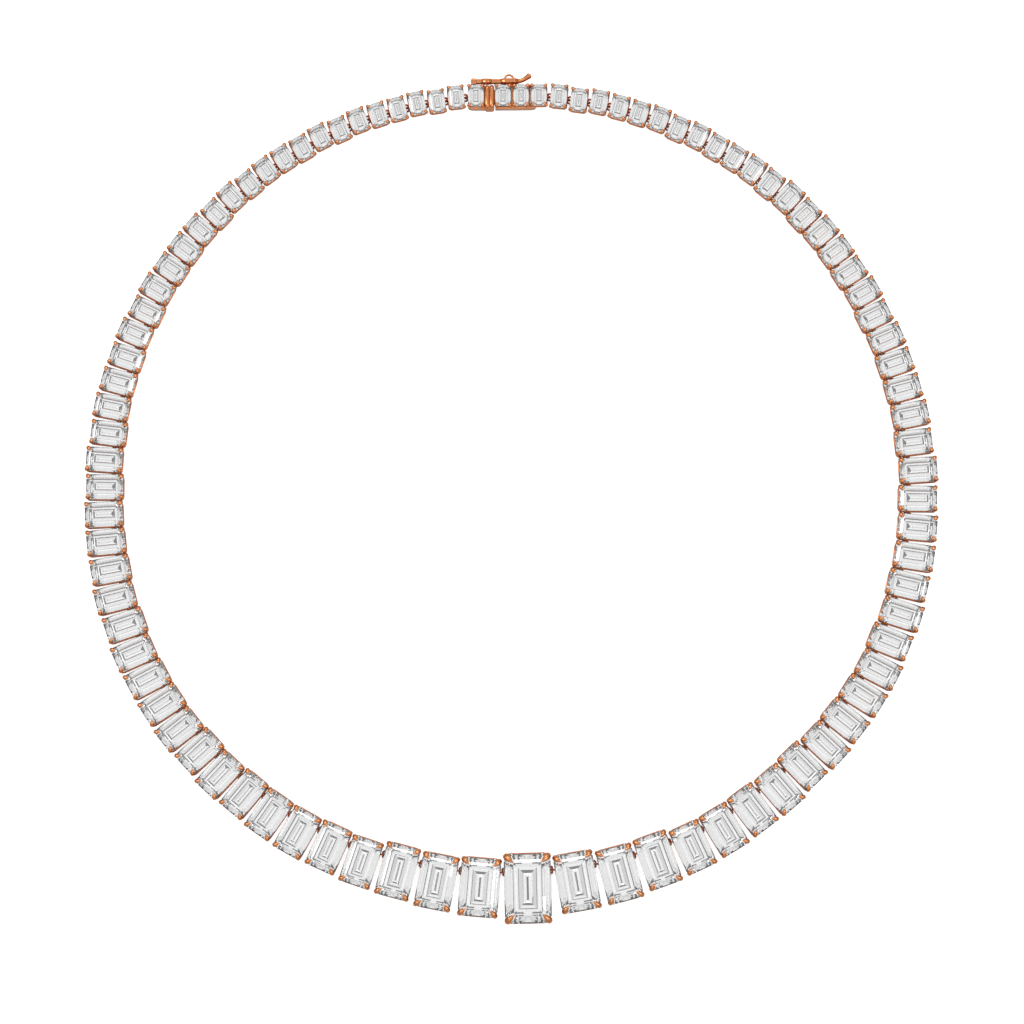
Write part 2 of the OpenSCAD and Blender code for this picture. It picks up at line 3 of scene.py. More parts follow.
import bmesh
import bpy
import numpy as np
from mathutils import Matrix, Vector


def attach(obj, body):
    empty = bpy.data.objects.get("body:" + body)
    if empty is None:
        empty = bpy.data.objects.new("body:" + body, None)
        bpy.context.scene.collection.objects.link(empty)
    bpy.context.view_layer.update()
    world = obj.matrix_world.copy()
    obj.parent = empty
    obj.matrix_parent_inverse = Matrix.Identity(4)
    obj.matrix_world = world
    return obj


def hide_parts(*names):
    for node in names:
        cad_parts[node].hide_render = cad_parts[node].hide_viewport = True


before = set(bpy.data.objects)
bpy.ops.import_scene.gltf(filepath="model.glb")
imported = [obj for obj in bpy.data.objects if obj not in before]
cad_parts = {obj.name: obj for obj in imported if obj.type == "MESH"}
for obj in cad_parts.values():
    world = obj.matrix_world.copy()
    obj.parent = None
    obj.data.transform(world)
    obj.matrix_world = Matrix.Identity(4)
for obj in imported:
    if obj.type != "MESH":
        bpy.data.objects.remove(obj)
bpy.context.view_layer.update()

MM = 0.001

# Photograph's view
CAMERA_AT = (0.00009, -0.05270, 0.57704)
CAMERA_AIM = (0.00009, -0.00310, 0.00305)
CAMERA_LENS = 127.0

# Studio light by height, 0 below and 1 overhead, on metal and inside the stones: each row holds a height
# and a level, and the two ends come first
METAL_SKY = (
    (0.0, 0.12), (1.0, 0.95),
    (0.5, 0.07), (0.56, 0.18), (0.64, 1.0), (0.70, 0.55), (0.80, 0.45), (0.88, 1.5), (0.93, 0.72),
)
STONE_SKY = (
    (0.0, 0.80), (1.0, 0.92),
    (0.5, 0.64), (0.58, 0.88), (0.64, 1.10), (0.70, 0.62), (0.78, 1.08), (0.86, 0.60), (0.93, 0.98),
)
STRIP_POWER = 0.7

# Tray: its grey, and the light it gives to the camera, through the stones and to the rest
TRAY_HALF = 1.5
TRAY_GREY = (0.62, 0.62, 0.62, 1)
TRAY_TO_CAMERA = 0.8
TRAY_THROUGH_STONES = 0.95
TRAY_TO_REST = 0.02

# Rose gold where it is lightest and warmest, and darker and redder low down between the stones as painted
# shade
GOLD_LIGHT = (0.74, 0.31, 0.135, 1)
GOLD_WARM = (0.62, 0.235, 0.092, 1)
GOLD_PAINTED_SHADE = (0.50, 0.11, 0.036, 1)
GOLD_POLISH = (0.07, 0.16)

# Stones: refraction, two tints, greatest roughness, and the faint light given by their faces in place of
# the many paths that a render leaves out
STONE_IOR = 2.42
STONE_CLEAR = (0.985, 0.988, 0.99, 1)
STONE_TINT = (0.95, 0.955, 0.965, 1)
STONE_ROUGH = 0.012
STONE_GLOW = 0.014

# Stone cut, as shares of a stone's width: corner, girdle band, crown height and crown inset
CORNER_CUT = 0.155
GIRDLE_BAND = 0.025
CROWN_RISE = 0.13
TABLE_INSET = 0.19

# Crown steps from the girdle to the table, as shares of its inset and of its rise
CROWN_STEPS_IN = (0.0, 0.34, 0.68, 1.0)
CROWN_STEPS_UP = (0.0, 0.42, 0.76, 1.0)

# Setting sizes in metres
BASE_H = 0.70 * MM
BASE_T = 0.42 * MM
BASE_SHARE = 0.73
BASE_INSET = 0.08 * MM
GALLERY_R = 0.15 * MM
GALLERY_DROP = 0.27
GALLERY_BACK = 0.10 * MM
GALLERY_ENDS = 0.10 * MM
GALLERY_CORNER = 0.12
GALLERY_STRAY = 0.04 * MM
NEAR_RAIL_W = (2.7 * MM, 3.3 * MM, 4.2 * MM, 5.2 * MM)
NEAR_RAIL_OUT = (0.13 * MM, 0.22 * MM, 0.22 * MM, -0.05 * MM)
LINK_Z = 0.66 * MM
BAR_R = 0.17 * MM
BAR_HALF = 0.70 * MM
EYE_WIRE_R = 0.14 * MM
EYE_R = 0.50 * MM
LINK_BACK = 0.83 * MM

# How much painted shade darkens each part's colour, by how deep in the setting it lies, from 0 in the light
# to 1 in shade
RAIL_PAINTED_SHADE = 0.15
GALLERY_PAINTED_SHADE = 0.3
EYE_PAINTED_SHADE = 0.85
STAPLE_PAINTED_SHADE = 0.95
CLAW_FOOT_PAINTED_SHADES = [0.9, 0.5]

# Prong radius on the smallest stone, and how it grows with the stone's width
PRONG_R = 0.26 * MM
PRONG_GROWTH = 0.050
SMALLEST_W = 2.5 * MM

# Reach of a claw over the stone, as a share of the largest claw's, at two widths of stone
CLAW_REACH_W = (SMALLEST_W, 3 * SMALLEST_W)
CLAW_REACH = (0.62, 1.0)
CLAW_FOOT_SHARE = 0.84

# Share of a stone's length by which its link sits inward of the middle: place from the centre, share
LINK_PLACES = ((0, 0.25), (22, 0.25), (26, 0.20), (30, 0.18), (34, 0.08), (40, 0.02), (46, 0.0))

# Claw from its foot to its point: distance outward from the corner facet in prong radii, height in
# prong radii (above the girdle outside the stone, above the crown's surface inside), and radius share
CLAW_OUTSIDE = ((0.10, -2.2, 0.86), (0.36, -0.9, 0.92), (0.42, 0.0, 1.02), (0.22, 0.75, 1.10))
CLAW_INSIDE = ((-0.55, 0.58, 0.94), (-1.35, 0.42, 0.66), (-2.05, 0.30, 0.32), (-2.45, 0.12, 0.05))

# Clasp, along its own middle line in metres
THUMB_W = 1.5 * MM
THUMB_TOP = 2.4 * MM
WALL_H = 1.7 * MM
WALL_T = 0.4 * MM
WALL_OUT = 0.35 * MM
LATCH_WALL_T = 0.25 * MM
LATCH_WALL_OUT = 0.05 * MM
FLOOR_T = 0.22 * MM
RIB_LOW = 1.2 * MM
RIB_PROUD = 0.02 * MM
RIB_HALF = 0.13 * MM
THIN_RIB_HALF = 0.07 * MM
RIB_PAIR = 0.15 * MM
CLAW_FOOT_Z = 1.0 * MM
BAND_ROUND = 0.9 * MM
THUMB_OVER = 0.35 * MM
TONGUE_Z = 0.34 * MM
TONGUE_T = 0.4 * MM
TONGUE_W = 2.4 * MM
TONGUE_IN = 3.8 * MM
SOFT_EDGE = 0.09 * MM

# Latch, from its hinge in metres
HINGE_BACK = 0.35 * MM
HINGE_OUT = 2.45 * MM
PLATE_T = 0.14 * MM
LATCH_REACH = 5.75 * MM
LATCH_Z = 1.15 * MM
LATCH_H = 2.2 * MM
LATCH_LOOP = 3.2 * MM
LATCH_RIM = 0.32 * MM
LATCH_T = 0.7 * MM
RING_AT = 2.1 * MM
RING_R = 1.0 * MM
TIP_REACH = 9.1 * MM
TIP_STEPS = (0.0, 0.25, 0.5, 0.75, 0.92, 1.0, 1.05)
NECK_H = 1.1 * MM
TIP_OUT = 1.0 * MM
KEEPER_OUT = 0.40 * MM
KEEPER_R = 0.66 * MM
KEEPER_WIRE_R = 0.17 * MM
BULB_R = 0.46 * MM
BARREL_R = 0.45 * MM
BARREL_H = 1.1 * MM
PIN_R = 0.2 * MM
PIN_BORE = 0.26 * MM
LUG_R = 0.42 * MM
LUG_H = 0.35 * MM
HINGE_GAP = 0.06 * MM


def set_camera():
    """The camera that took the photograph, as nearly as the stones' places tell."""
    data = bpy.data.cameras.new("photo_view")
    data.lens = CAMERA_LENS
    data.sensor_width = 36.0
    data.clip_start = 0.01
    camera = bpy.data.objects.new("photo_view", data)
    bpy.context.collection.objects.link(camera)
    camera.location = CAMERA_AT
    look = Vector(CAMERA_AIM) - Vector(CAMERA_AT)
    camera.rotation_euler = look.to_track_quat("-Z", "Y").to_euler()
    bpy.context.scene.camera = camera


# Shader helpers
def new_material(name):
    """An empty node material and its tree."""
    material = bpy.data.materials.new(name)
    material.use_nodes = True
    tree = material.node_tree
    tree.nodes.clear()
    return material, tree


def node_of(tree, kind, **settings):
    """A node with some of its settings given."""
    node = tree.nodes.new(kind)
    for key, value in settings.items():
        setattr(node, key, value)
    return node


def set_inputs(node, **values):
    """Values of a node's inputs, whose names have _ for a space."""
    for key, value in values.items():
        node.inputs[key.replace("_", " ")].default_value = value


def new_group(name, inputs, outputs):
    """A shader group with float inputs {name: value} and outputs {name: socket kind}."""
    group = bpy.data.node_groups.new(name, "ShaderNodeTree")
    for label, value in inputs.items():
        socket = group.interface.new_socket(label, in_out="INPUT", socket_type="NodeSocketFloat")
        socket.default_value = value
    for label, kind in outputs.items():
        group.interface.new_socket(label, in_out="OUTPUT", socket_type=kind)
    return group, node_of(group, "NodeGroupInput"), node_of(group, "NodeGroupOutput")


def surface_drift():
    """Slow change over a surface, from 0 to 1, and fine hairline marks on it."""
    group, given, result = new_group(
        "surface_drift",
        {"Scale": 300.0, "Mark Scale": 2500.0, "Mark Depth": 0.02},
        {"Drift": "NodeSocketFloat", "Normal": "NodeSocketVector"},
    )
    where = node_of(group, "ShaderNodeTexCoord")
    slow = node_of(group, "ShaderNodeTexNoise")
    set_inputs(slow, Detail=3.0, Roughness=0.55)
    fine = node_of(group, "ShaderNodeTexNoise")
    set_inputs(fine, Detail=2.0, Roughness=0.6, Distortion=0.8)
    bump = node_of(group, "ShaderNodeBump")
    set_inputs(bump, Distance=0.00002)
    group.links.new(where.outputs["Object"], slow.inputs["Vector"])
    group.links.new(where.outputs["Object"], fine.inputs["Vector"])
    group.links.new(given.outputs["Scale"], slow.inputs["Scale"])
    group.links.new(given.outputs["Mark Scale"], fine.inputs["Scale"])
    group.links.new(fine.outputs["Fac"], bump.inputs["Height"])
    group.links.new(given.outputs["Mark Depth"], bump.inputs["Strength"])
    group.links.new(slow.outputs["Fac"], result.inputs["Drift"])
    group.links.new(bump.outputs["Normal"], result.inputs["Normal"])
    return group


def place_group(tree, group, **values):
    """A group in a material, with its own values."""
    node = node_of(tree, "ShaderNodeGroup", node_tree=group)
    set_inputs(node, **values)
    return node


def ranged(tree, source, low, high, start=0.0, end=1.0):
    """A value between start and end taken to one between low and high."""
    node = node_of(tree, "ShaderNodeMapRange")
    node.inputs["From Min"].default_value = start
    node.inputs["From Max"].default_value = end
    node.inputs["To Min"].default_value = low
    node.inputs["To Max"].default_value = high
    tree.links.new(source, node.inputs["Value"])
    return node.outputs["Result"]


def mixed(tree, mask, first, second):
    """The first colour where the mask is 0 and the second where it is 1."""
    node = node_of(tree, "ShaderNodeMix", data_type="RGBA")
    for socket, value in (("A_Color", first), ("B_Color", second)):
        target = next(s for s in node.inputs if s.identifier == socket)
        if isinstance(value, tuple):
            target.default_value = value
        else:
            tree.links.new(value, target)
    factor = next(s for s in node.inputs if s.identifier == "Factor_Float")
    tree.links.new(mask, factor)
    return next(s for s in node.outputs if s.identifier == "Result_Color")


def rose_gold(drift):
    """Polished rose gold: warm highlights on top, and painted shade that makes it darker and redder low down
    between the stones.
    """
    material, tree = new_material("rose_gold_polish")
    out = node_of(tree, "ShaderNodeOutputMaterial")
    metal = node_of(tree, "ShaderNodeBsdfPrincipled")
    set_inputs(metal, Metallic=1.0)
    polish = place_group(tree, drift, Scale=420.0, Mark_Scale=5200.0, Mark_Depth=0.10)
    # Painted shade: this mask turns the gold's colour darker and redder low down between the stones
    deep = node_of(tree, "ShaderNodeAttribute", attribute_name="painted_shade")
    tone = ranged(tree, polish.outputs["Drift"], 0.0, 1.0, 0.3, 0.7)
    colour = mixed(tree, deep.outputs["Fac"], mixed(tree, tone, GOLD_LIGHT, GOLD_WARM), GOLD_PAINTED_SHADE)
    tree.links.new(colour, metal.inputs["Base Color"])
    rough = ranged(tree, polish.outputs["Drift"], *GOLD_POLISH, 0.3, 0.7)
    tree.links.new(rough, metal.inputs["Roughness"])
    tree.links.new(polish.outputs["Normal"], metal.inputs["Normal"])
    tree.links.new(metal.outputs[0], out.inputs["Surface"])
    return material


def diamond(drift):
    """Colourless step-cut stone, with a faint change of tint and of polish from facet to facet."""
    material, tree = new_material("cut_diamond")
    out = node_of(tree, "ShaderNodeOutputMaterial")
    glass = node_of(tree, "ShaderNodeBsdfPrincipled")
    set_inputs(glass, Metallic=0.0, IOR=STONE_IOR, Transmission_Weight=1.0)
    set_inputs(glass, Emission_Color=(1, 1, 1, 1), Emission_Strength=STONE_GLOW)
    tint = place_group(tree, drift, Scale=160.0, Mark_Scale=900.0, Mark_Depth=0.0)
    tone = ranged(tree, tint.outputs["Drift"], 0.0, 1.0, 0.35, 0.65)
    tree.links.new(mixed(tree, tone, STONE_CLEAR, STONE_TINT), glass.inputs["Base Color"])
    rough = ranged(tree, tint.outputs["Drift"], 0.0, STONE_ROUGH, 0.35, 0.65)
    tree.links.new(rough, glass.inputs["Roughness"])
    tree.links.new(glass.outputs[0], out.inputs["Surface"])
    return material


def make_floor():
    """Pale tray that the necklace lies on."""
    material, tree = new_material("pale_tray")
    out = node_of(tree, "ShaderNodeOutputMaterial")
    add = node_of(tree, "ShaderNodeAddShader")
    plain = node_of(tree, "ShaderNodeBsdfDiffuse")
    plain.inputs["Color"].default_value = TRAY_GREY
    glow = node_of(tree, "ShaderNodeEmission")
    glow.inputs["Color"].default_value = (1, 1, 1, 1)
    path = node_of(tree, "ShaderNodeLightPath")
    seen = node_of(tree, "ShaderNodeMath", operation="MAXIMUM")
    to_camera = ranged(tree, path.outputs["Is Camera Ray"], TRAY_TO_REST, TRAY_TO_CAMERA)
    through = ranged(tree, path.outputs["Is Transmission Ray"], TRAY_TO_REST, TRAY_THROUGH_STONES)
    tree.links.new(to_camera, seen.inputs[0])
    tree.links.new(through, seen.inputs[1])
    tree.links.new(seen.outputs[0], glow.inputs["Strength"])
    tree.links.new(plain.outputs[0], add.inputs[0])
    tree.links.new(glow.outputs[0], add.inputs[1])
    tree.links.new(add.outputs[0], out.inputs["Surface"])
    mesh = bpy.data.meshes.new("tray")
    corners = [(x * TRAY_HALF, y * TRAY_HALF, 0) for x, y in ((-1, -1), (1, -1), (1, 1), (-1, 1))]
    mesh.from_pydata(corners, [], [(0, 1, 2, 3)])
    mesh.materials.append(material)
    tray = bpy.data.objects.new("tray", mesh)
    bpy.context.collection.objects.link(tray)


def soft_light(name, at, size):
    """A strip of light that faces the middle of the necklace and isn't seen through the stones."""
    data = bpy.data.lights.new(name, "AREA")
    data.shape = "RECTANGLE"
    data.size, data.size_y = size
    data.energy = STRIP_POWER
    light = bpy.data.objects.new(name, data)
    bpy.context.collection.objects.link(light)
    light.visible_transmission = False
    light.location = at
    light.rotation_euler = (-Vector(at)).to_track_quat("-Z", "Y").to_euler()


def level_ramp(tree, source, rows):
    """Grey levels by height: each row holds a height from 0 below to 1 overhead, and a level."""
    node = node_of(tree, "ShaderNodeValToRGB")
    tree.links.new(source, node.inputs[0])
    steps = node.color_ramp.elements
    for row, (height, level) in enumerate(rows):
        stop = steps[row] if row < 2 else steps.new(height)
        stop.position = height
        stop.color = (level, level, level, 1)
    return node.outputs[0]


def set_lights():
    """A soft studio, and three strips of light for the highlights on the metal."""
    world = bpy.data.worlds.new("studio")
    bpy.context.scene.world = world
    world.use_nodes = True
    tree = world.node_tree
    tree.nodes.clear()
    out = node_of(tree, "ShaderNodeOutputWorld")
    back = node_of(tree, "ShaderNodeBackground")
    where = node_of(tree, "ShaderNodeTexCoord")
    parts = node_of(tree, "ShaderNodeSeparateXYZ")
    path = node_of(tree, "ShaderNodeLightPath")
    tree.links.new(where.outputs["Generated"], parts.inputs[0])
    height = ranged(tree, parts.outputs["Z"], 0.0, 1.0, -1.0, 1.0)
    on_metal = level_ramp(tree, height, METAL_SKY)
    in_stones = level_ramp(tree, height, STONE_SKY)
    sky = mixed(tree, path.outputs["Is Transmission Ray"], on_metal, in_stones)
    tree.links.new(sky, back.inputs["Color"])
    tree.links.new(back.outputs[0], out.inputs["Surface"])
    soft_light("left_strip", (-0.45, 0.1, 0.45), (0.12, 0.5))
    soft_light("right_strip", (0.45, -0.1, 0.5), (0.12, 0.5))
    soft_light("far_strip", (0.0, 0.5, 0.4), (0.5, 0.12))
    bpy.context.scene.view_settings.view_transform = "Standard"


# Stones of the frame
def stones_in(node):
    """Each loose stone of a CAD node: middle, outward direction, width, length, girdle and table heights."""
    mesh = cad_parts[node].data
    spots = np.empty(len(mesh.vertices) * 3)
    mesh.vertices.foreach_get("co", spots)
    grid = np.round(spots.reshape(-1, 3) * 1e7).astype(np.int64)
    points, which = np.unique(grid, axis=0, return_inverse=True)
    which = which.ravel()
    points = points / 1e7
    ends = np.empty(len(mesh.edges) * 2, dtype=np.int64)
    mesh.edges.foreach_get("vertices", ends)
    ends = which[ends].reshape(-1, 2)
    group = np.arange(len(points))
    while True:
        low = np.minimum(group[ends[:, 0]], group[ends[:, 1]])
        new = group.copy()
        np.minimum.at(new, ends[:, 0], low)
        np.minimum.at(new, ends[:, 1], low)
        if (new == group).all():
            break
        group = new
    return [measured_stone(points[group == label]) for label in np.unique(group)]


def measured_stone(own):
    """Place and sizes of one stone from its own points."""
    middle = own[:, :2].mean(axis=0)
    flat = own[:, :2] - middle
    out = np.linalg.eigh(flat.T @ flat)[1][:, 1]
    if out @ middle < 0:
        out = -out
    across = np.array([out[1], -out[0]])
    x, y = flat @ across, flat @ out
    girdle = own[np.abs(x) > x.max() - 1e-6][:, 2].min()
    return {
        "at": middle, "out": out, "across": across, "z": girdle, "top": own[:, 2].max(),
        "w": x.max() - x.min(), "l": y.max() - y.min(),
    }


def run_from_centre(node, side):
    """A run's stones in order from the centre stone: side is 1 on the right and -1 on the left."""
    def angle(stone):
        return math.atan2(side * stone["at"][0], -stone["at"][1]) % (2 * math.pi)
    return sorted(stones_in(node), key=angle)


def spot(stone, x, y, z):
    """A point in a stone's own frame, x along the chain and y outward, as one in the row frame."""
    flat = stone["at"] + stone["across"] * x + stone["out"] * y
    return Vector((flat[0], flat[1], z))


# Wires: polylines with a radius and an amount of painted shade at each point
class Wires:
    def __init__(self):
        self.points, self.edges, self.radii, self.painted_shade = [], [], [], []

    def add(self, points, radii, painted_shade=0.0, closed=False):
        first = len(self.points)
        count = len(points)
        self.points.extend(tuple(p) for p in points)
        self.radii.extend([radii] * count if isinstance(radii, float) else radii)
        self.painted_shade.extend([painted_shade] * count if isinstance(painted_shade, float) else painted_shade)
        self.edges.extend((first + i, first + i + 1) for i in range(count - 1))
        if closed:
            self.edges.append((first + count - 1, first))


def tree_input(tree, name, kind, value=None):
    """A named input of a tree, by its identifier."""
    socket = tree.interface.new_socket(name, in_out="INPUT", socket_type=kind)
    if value is not None:
        socket.default_value = value
    return socket.identifier


def rounded_wire_tree():
    """Turns polylines into smooth wires whose section is an oval of the radius stored at each point."""
    tree = bpy.data.node_groups.new("rounded_wire", "GeometryNodeTree")
    tree.interface.new_socket("Geometry", in_out="INPUT", socket_type="NodeSocketGeometry")
    sockets = {
        "Sides": tree_input(tree, "Sides", "NodeSocketInt", 8),
        "Steps": tree_input(tree, "Steps", "NodeSocketInt", 1),
        "Height Share": tree_input(tree, "Height Share", "NodeSocketVector", (1.0, 1.0, 1.0)),
        "Material": tree_input(tree, "Material", "NodeSocketMaterial"),
    }
    tree.interface.new_socket("Geometry", in_out="OUTPUT", socket_type="NodeSocketGeometry")
    given = node_of(tree, "NodeGroupInput")
    result = node_of(tree, "NodeGroupOutput")
    curve = node_of(tree, "GeometryNodeMeshToCurve")
    kind = node_of(tree, "GeometryNodeCurveSplineType", spline_type="CATMULL_ROM")
    steps = node_of(tree, "GeometryNodeSetSplineResolution")
    normal = node_of(tree, "GeometryNodeSetCurveNormal", mode="Z_UP")
    size = node_of(tree, "GeometryNodeInputNamedAttribute", data_type="FLOAT")
    set_inputs(size, Name="wire_r")
    ring = node_of(tree, "GeometryNodeCurvePrimitiveCircle")
    set_inputs(ring, Radius=1.0)
    shape = node_of(tree, "GeometryNodeTransform")
    sweep = node_of(tree, "GeometryNodeCurveToMesh")
    sweep.inputs["Fill Caps"].default_value = True
    smooth = node_of(tree, "GeometryNodeSetShadeSmooth")
    real = node_of(tree, "GeometryNodeRealizeInstances")
    finish = node_of(tree, "GeometryNodeSetMaterial")
    chain = (
        (given, "Geometry", curve, "Mesh"),
        (curve, "Curve", kind, "Curve"),
        (kind, "Curve", steps, "Geometry"),
        (given, "Steps", steps, "Resolution"),
        (steps, "Geometry", normal, "Curve"),
        (normal, "Curve", sweep, "Curve"),
        (size, "Attribute", sweep, "Scale"),
        (given, "Sides", ring, "Resolution"),
        (ring, "Curve", shape, "Geometry"),
        (given, "Height Share", shape, "Scale"),
        (shape, "Geometry", sweep, "Profile Curve"),
        (sweep, "Mesh", smooth, "Geometry"),
        (smooth, "Geometry", real, "Geometry"),
        (real, "Geometry", finish, "Geometry"),
        (given, "Material", finish, "Material"),
        (finish, "Geometry", result, "Geometry"),
    )
    for source, out, target, into in chain:
        tree.links.new(source.outputs[out], target.inputs[into])
    return tree, sockets


def wire_mesh(name, wires, sides=8, steps=1, height=1.0):
    """The plain mesh of some wires, made by the rounded_wire tree."""
    mesh = bpy.data.meshes.new(name)
    mesh.from_pydata(wires.points, wires.edges, [])
    for label, values in (("wire_r", wires.radii), ("painted_shade", wires.painted_shade)):
        layer = mesh.attributes.new(label, "FLOAT", "POINT")
        layer.data.foreach_set("value", values)
    piece = bpy.data.objects.new(name, mesh)
    bpy.context.collection.objects.link(piece)
    tree, sockets = WIRE_TREE
    modifier = piece.modifiers.new("rounded_wire", "NODES")
    modifier.node_group = tree
    modifier[sockets["Sides"]] = sides
    modifier[sockets["Steps"]] = steps
    modifier[sockets["Height Share"]] = (1.0, height, 1.0)
    modifier[sockets["Material"]] = GOLD
    bpy.context.view_layer.update()
    ready = piece.evaluated_get(bpy.context.evaluated_depsgraph_get())
    plain = bpy.data.meshes.new_from_object(ready)
    bpy.data.objects.remove(piece)
    return plain


def block_mesh(name, low, high, soft=SOFT_EDGE):
    """A box between two corners with rounded edges."""
    side = ((low[0], low[2]), (high[0], low[2]), (high[0], high[2]), (low[0], high[2]))
    return outline_mesh(name, side, low[1], high[1], soft)


def round_edges(solid, over_angle, soft):
    """Rounds the edges of a solid that turn by more than an angle in degrees."""
    sharp = [e for e in solid.edges if e.calc_face_angle(0) > math.radians(over_angle)]
    bmesh.ops.bevel(
        solid, geom=sharp, offset=soft, segments=3, profile=0.5, affect="EDGES", clamp_overlap=True,
    )


def outline_mesh(name, outline, low_y, high_y, soft=SOFT_EDGE):
    """An outline in x and z, drawn through from one y to another, with rounded edges."""
    solid = bmesh.new()
    front = [solid.verts.new((x, low_y, z)) for x, z in outline]
    face = solid.faces.new(front)
    drawn = bmesh.ops.extrude_face_region(solid, geom=[face])
    moved = [v for v in drawn["geom"] if isinstance(v, bmesh.types.BMVert)]
    bmesh.ops.translate(solid, vec=(0, high_y - low_y, 0), verts=moved)
    bmesh.ops.recalc_face_normals(solid, faces=solid.faces)
    round_edges(solid, 25, soft)
    mesh = bpy.data.meshes.new(name)
    solid.to_mesh(mesh)
    solid.free()
    mesh.shade_smooth()
    mesh.set_sharp_from_angle(angle=math.radians(32))
    return mesh


def joined_piece(name, parts, body, node):
    """One object from several meshes, each with the matrix that takes it to the row frame."""
    whole = bmesh.new()
    for mesh, place in parts:
        placed = mesh.copy()
        placed.transform(place)
        # Parts that carry no painted shade get none
        if "painted_shade" not in placed.attributes:
            layer = placed.attributes.new("painted_shade", "FLOAT", "POINT")
            layer.data.foreach_set("value", [0.0] * len(placed.vertices))
        whole.from_mesh(placed)
        bpy.data.meshes.remove(placed)
    mesh = bpy.data.meshes.new(name)
    whole.to_mesh(mesh)
    whole.free()
    mesh.materials.clear()
    mesh.materials.append(GOLD)
    piece = bpy.data.objects.new(name, mesh)
    bpy.context.collection.objects.link(piece)
    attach(piece, body)
    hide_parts(node)
    return piece


# Settings
def prong_r(w):
    """Radius of a stone's prongs by the stone's width."""
    return PRONG_R + PRONG_GROWTH * (w - SMALLEST_W)


def crown_height(w, inward):
    """Height of the crown above the girdle's lower edge, at a distance in from the girdle."""
    share = float(np.interp(inward / (TABLE_INSET * w), CROWN_STEPS_IN, CROWN_STEPS_UP))
    return (GIRDLE_BAND + CROWN_RISE * share) * w


def base_corner(stone):
    """Foot of a claw in the base rail's corner."""
    return (stone["w"] * BASE_SHARE / 2 - BASE_T / 2, stone["l"] / 2 - BASE_INSET - BASE_T / 2, BASE_H * 0.6)


def add_claws(wires, stone, foot):
    """Four claws over a stone's corners, from the same foot at each."""
    w, l, z = stone["w"], stone["l"], stone["z"]
    r = prong_r(w)
    facet = (w / 2 - CORNER_CUT * w / 2, l / 2 - CORNER_CUT * w / 2)
    rows = [(foot[0], foot[1], foot[2], r * CLAW_FOOT_SHARE)]
    for out, lift, share in CLAW_OUTSIDE:
        u = out * r / math.sqrt(2)
        rows.append((facet[0] + u, facet[1] + u, z + lift * r, share * r))
    reach = float(np.interp(w, CLAW_REACH_W, CLAW_REACH))
    for out, lift, share in CLAW_INSIDE:
        out *= reach
        u = out * r / math.sqrt(2)
        rows.append((facet[0] + u, facet[1] + u, z + crown_height(w, -out * r) + lift * r, share * r))
    # Painted shade at each claw's foot, fading to none from the third point up
    painted_shade = CLAW_FOOT_PAINTED_SHADES + [0.0] * (len(rows) - 2)
    for sx in (1, -1):
        for sy in (1, -1):
            points = [spot(stone, sx * row[0], sy * row[1], row[2]) for row in rows]
            wires.add(points, [row[3] for row in rows], painted_shade)


def rounded_loop(stone, w, l, z, corner):
    """Corner points of a rounded rectangle round a stone's middle."""
    points = []
    for turn, (sx, sy) in enumerate(((1, 1), (-1, 1), (-1, -1), (1, -1))):
        for step in range(4):
            a = math.radians(90 * turn + 30 * step)
            x = sx * (w / 2 - corner) + corner * math.cos(a)
            y = sy * (l / 2 - corner) + corner * math.sin(a)
            points.append(spot(stone, x, y, z))
    return points


def add_base(rails, stone):
    """Flat rail that the setting stands on."""
    w = stone["w"] * BASE_SHARE - BASE_T
    l = stone["l"] - 2 * BASE_INSET - BASE_T
    rails.add(rounded_loop(stone, w, l, BASE_H / 2, BASE_T * 0.8), BASE_T / 2, RAIL_PAINTED_SHADE, closed=True)


def add_gallery(wires, stone, side, extra=0.0):
    """Rail under the girdle, which stands out towards the centre stone and back on the other side."""
    near = float(np.interp(stone["w"], NEAR_RAIL_W, NEAR_RAIL_OUT)) * abs(side)
    w = stone["w"] + near - GALLERY_BACK - 2 * GALLERY_R
    l = stone["l"] - GALLERY_ENDS
    z = stone["z"] - GALLERY_DROP * stone["w"] - GALLERY_R
    shift = side * (near + GALLERY_BACK) / 2 + extra
    move = Vector((*(stone["across"] * shift), 0))
    points = [point + move for point in rounded_loop(stone, w, l, z, stone["w"] * GALLERY_CORNER)]
    wires.add(points, GALLERY_R, GALLERY_PAINTED_SHADE, closed=True)


def link_inset(place, l):
    """Distance inward from a stone's middle to its link, by the stone's place and length."""
    places = [row[0] for row in LINK_PLACES]
    shares = [row[1] for row in LINK_PLACES]
    return float(np.interp(place, places, shares)) * l


def rail_face(stone, towards, inset):
    """Middle of a base rail's long side, on the side towards another stone."""
    sign = 1 if stone["across"] @ (towards["at"] - stone["at"]) > 0 else -1
    return spot(stone, sign * stone["w"] * BASE_SHARE / 2, -inset, LINK_Z)


def link_between(first, second, first_inset, second_inset):
    """The link between two neighbours: its middle, its direction, and the two rails that it joins."""
    a = rail_face(first, second, first_inset)
    b = rail_face(second, first, second_inset)
    along = (b - a).normalized()
    middle = a + along * max(LINK_BACK, (b - a).length / 2)
    return {"at": middle, "along": along, "from": a - along * BASE_T / 2, "to": b + along * BASE_T / 2}


def add_staple(wires, link):
    """Two legs on the first setting's rail with the crossbar between them."""
    c, along, back = link["at"], link["along"], link["from"]
    side = Vector((-along.y, along.x, 0))
    half = BAR_HALF - BAR_R
    legs = [back + side * half, c + side * half - along * BAR_R, c + side * (half - BAR_R), c]
    legs += [c - side * (half - BAR_R), c - side * half - along * BAR_R, back - side * half]
    wires.add(legs, BAR_R, STAPLE_PAINTED_SHADE)


